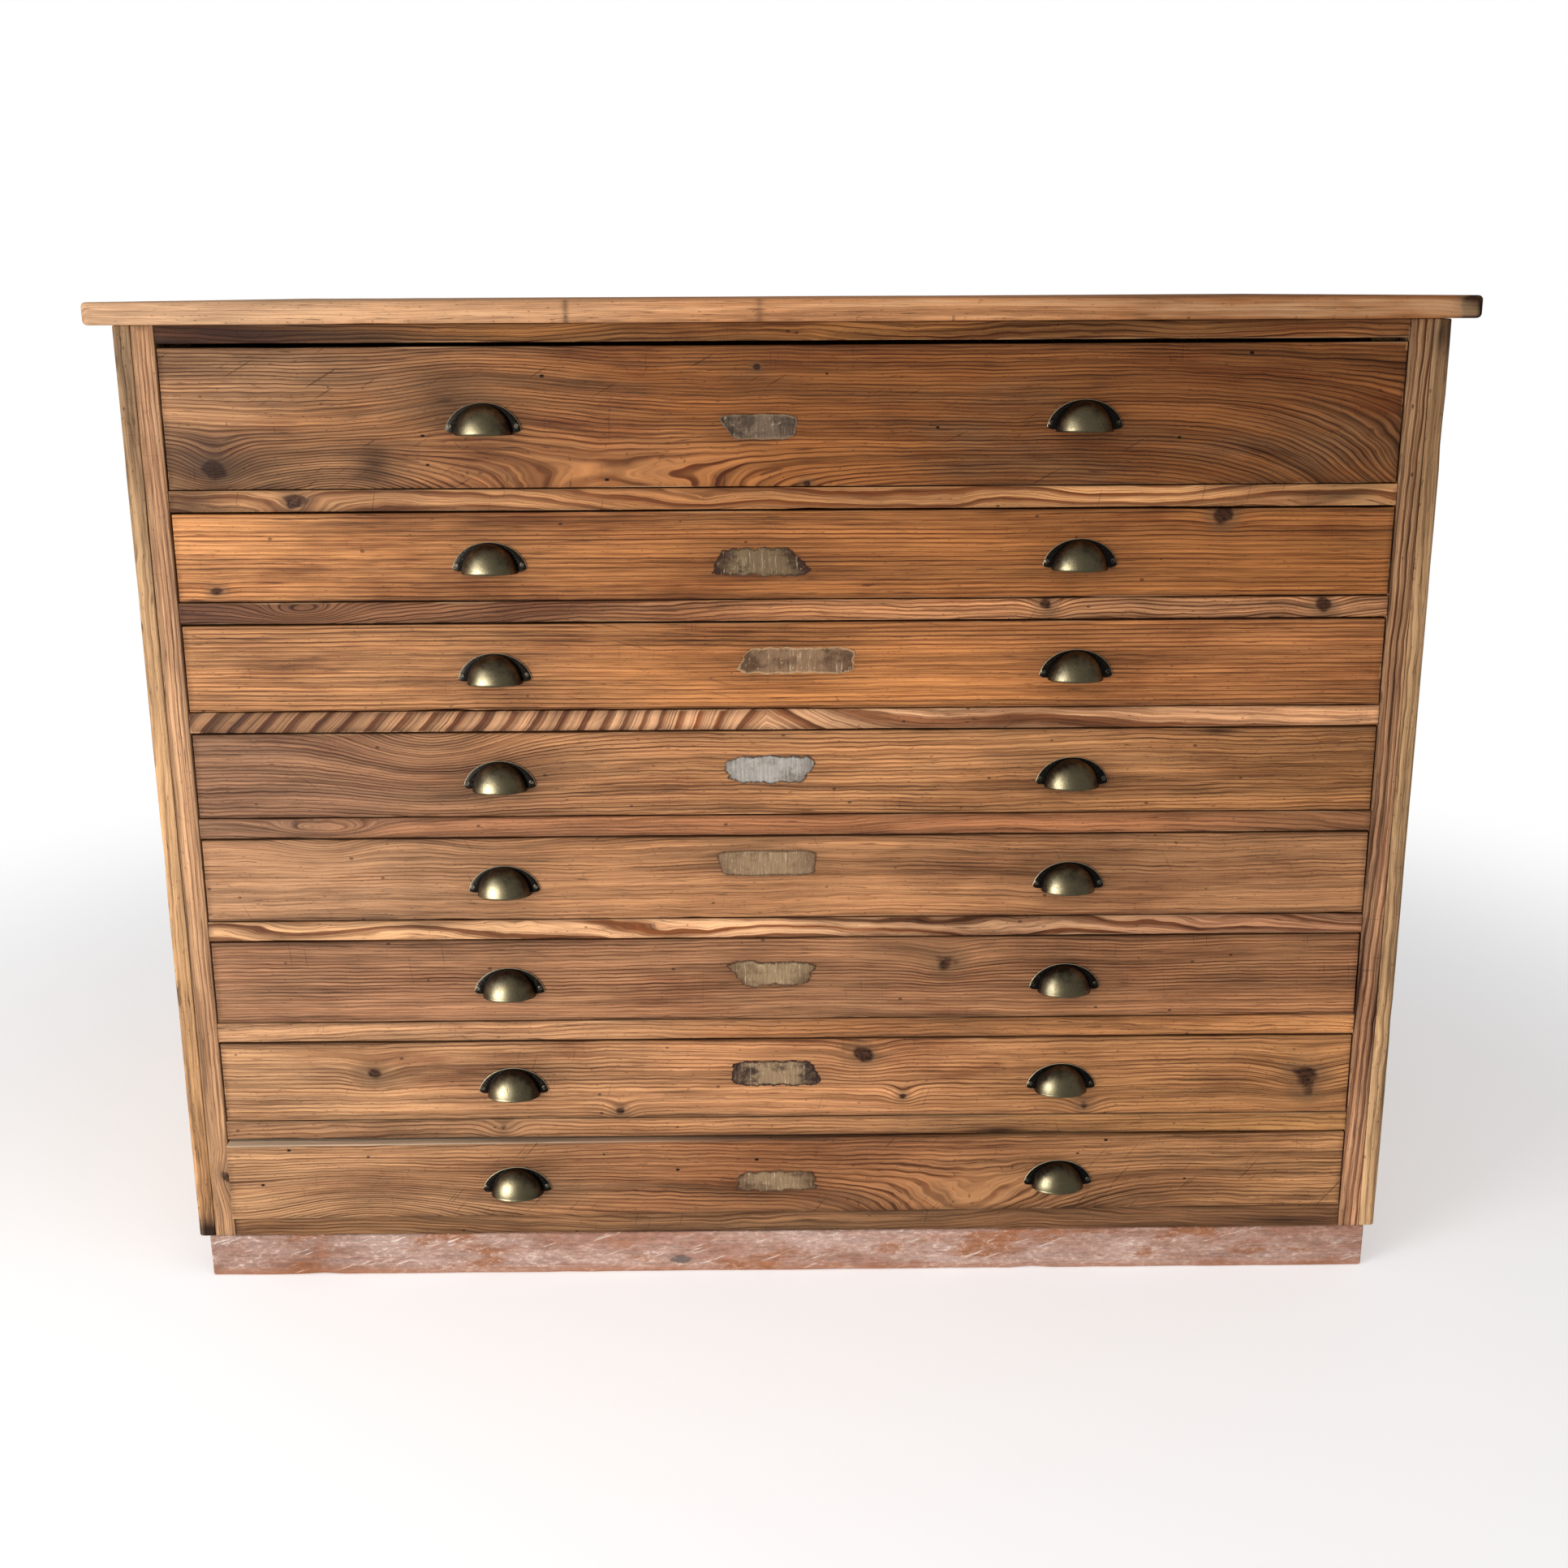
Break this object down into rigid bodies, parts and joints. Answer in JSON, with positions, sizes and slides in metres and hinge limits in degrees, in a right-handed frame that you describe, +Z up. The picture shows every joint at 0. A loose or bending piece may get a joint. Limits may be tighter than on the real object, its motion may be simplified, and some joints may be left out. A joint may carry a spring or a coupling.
{
  "type": "flat file cabinet",
  "caption": "Low, wide pine plan chest with a stack of shallow full-width drawers on brass cup pulls, an overhanging top slab and a plinth, for storing large flat sheets.",
  "frame": {"origin": "middle of the footprint on the floor, at the bottom centre of the bounding box", "axes": "+Z up; +X to the right for a person facing the drawers; the drawers open towards -Y, so +Y is the back"},
  "size_m": [1.364, 0.9369, 1.0628],
  "materials": {
    "pine_top": "waxed pine, light honey brown",
    "pine_frame": "aged pine, worn and grey-brown in places",
    "pine_face": "aged orange-brown pine, waxed, strong growth rings",
    "pine_inside": "unfinished dry pine",
    "plinth_wood": "pine with worn, faded red paint",
    "brass": "antique brass, dark in the hollows and rubbed bright on the crown",
    "paper": "old torn paper, browned, with no writing"
  },
  "bodies": {
    "cabinet": {"top_slab": "pine_top", "side_panel_left": "pine_frame", "stile_left": "pine_frame", "runner_rack_left": "pine_inside", "side_panel_right": "pine_frame", "stile_right": "pine_frame", "runner_rack_right": "pine_inside", "top_rail": "pine_frame", "drawer_rail_1": "pine_frame", "drawer_rail_2": "pine_frame", "drawer_rail_3": "pine_frame", "drawer_rail_4": "pine_frame", "drawer_rail_5": "pine_frame", "drawer_rail_6": "pine_frame", "drawer_rail_7": "pine_frame", "bottom_rail": "pine_frame", "back_panel": "pine_inside", "bottom_panel": "pine_inside", "plinth_front": "plinth_wood", "plinth_frame": "plinth_wood"},
    "drawer_1": {"drawer_1_front": "pine_face", "drawer_1_box": "pine_inside", "drawer_1_bottom": "pine_inside", "drawer_1_pull_left": "brass", "drawer_1_pull_right": "brass"},
    "drawer_2": {"drawer_2_front": "pine_face", "drawer_2_box": "pine_inside", "drawer_2_bottom": "pine_inside", "drawer_2_pull_left": "brass", "drawer_2_pull_right": "brass"},
    "drawer_3": {"drawer_3_front": "pine_face", "drawer_3_box": "pine_inside", "drawer_3_bottom": "pine_inside", "drawer_3_pull_left": "brass", "drawer_3_pull_right": "brass"},
    "drawer_4": {"drawer_4_front": "pine_face", "drawer_4_box": "pine_inside", "drawer_4_bottom": "pine_inside", "drawer_4_pull_left": "brass", "drawer_4_pull_right": "brass"},
    "drawer_5": {"drawer_5_front": "pine_face", "drawer_5_box": "pine_inside", "drawer_5_bottom": "pine_inside", "drawer_5_pull_left": "brass", "drawer_5_pull_right": "brass"},
    "drawer_6": {"drawer_6_front": "pine_face", "drawer_6_box": "pine_inside", "drawer_6_bottom": "pine_inside", "drawer_6_pull_left": "brass", "drawer_6_pull_right": "brass"},
    "drawer_7": {"drawer_7_front": "pine_face", "drawer_7_box": "pine_inside", "drawer_7_bottom": "pine_inside", "drawer_7_pull_left": "brass", "drawer_7_pull_right": "brass"},
    "drawer_8": {"drawer_8_front": "pine_face", "drawer_8_box": "pine_inside", "drawer_8_bottom": "pine_inside", "drawer_8_pull_left": "brass", "drawer_8_pull_right": "brass"}
  },
  "joints": [
    {"name": "drawer_1_slide", "type": "slide", "parent": "cabinet", "child": "drawer_1", "axis": [0, -1, 0], "range_m": [0, 0.6]},
    {"name": "drawer_2_slide", "type": "slide", "parent": "cabinet", "child": "drawer_2", "axis": [0, -1, 0], "range_m": [0, 0.6]},
    {"name": "drawer_3_slide", "type": "slide", "parent": "cabinet", "child": "drawer_3", "axis": [0, -1, 0], "range_m": [0, 0.6]},
    {"name": "drawer_4_slide", "type": "slide", "parent": "cabinet", "child": "drawer_4", "axis": [0, -1, 0], "range_m": [0, 0.6]},
    {"name": "drawer_5_slide", "type": "slide", "parent": "cabinet", "child": "drawer_5", "axis": [0, -1, 0], "range_m": [0, 0.6]},
    {"name": "drawer_6_slide", "type": "slide", "parent": "cabinet", "child": "drawer_6", "axis": [0, -1, 0], "range_m": [0, 0.6]},
    {"name": "drawer_7_slide", "type": "slide", "parent": "cabinet", "child": "drawer_7", "axis": [0, -1, 0], "range_m": [0, 0.6]},
    {"name": "drawer_8_slide", "type": "slide", "parent": "cabinet", "child": "drawer_8", "axis": [0, -1, 0], "range_m": [0, 0.6]}
  ]
}
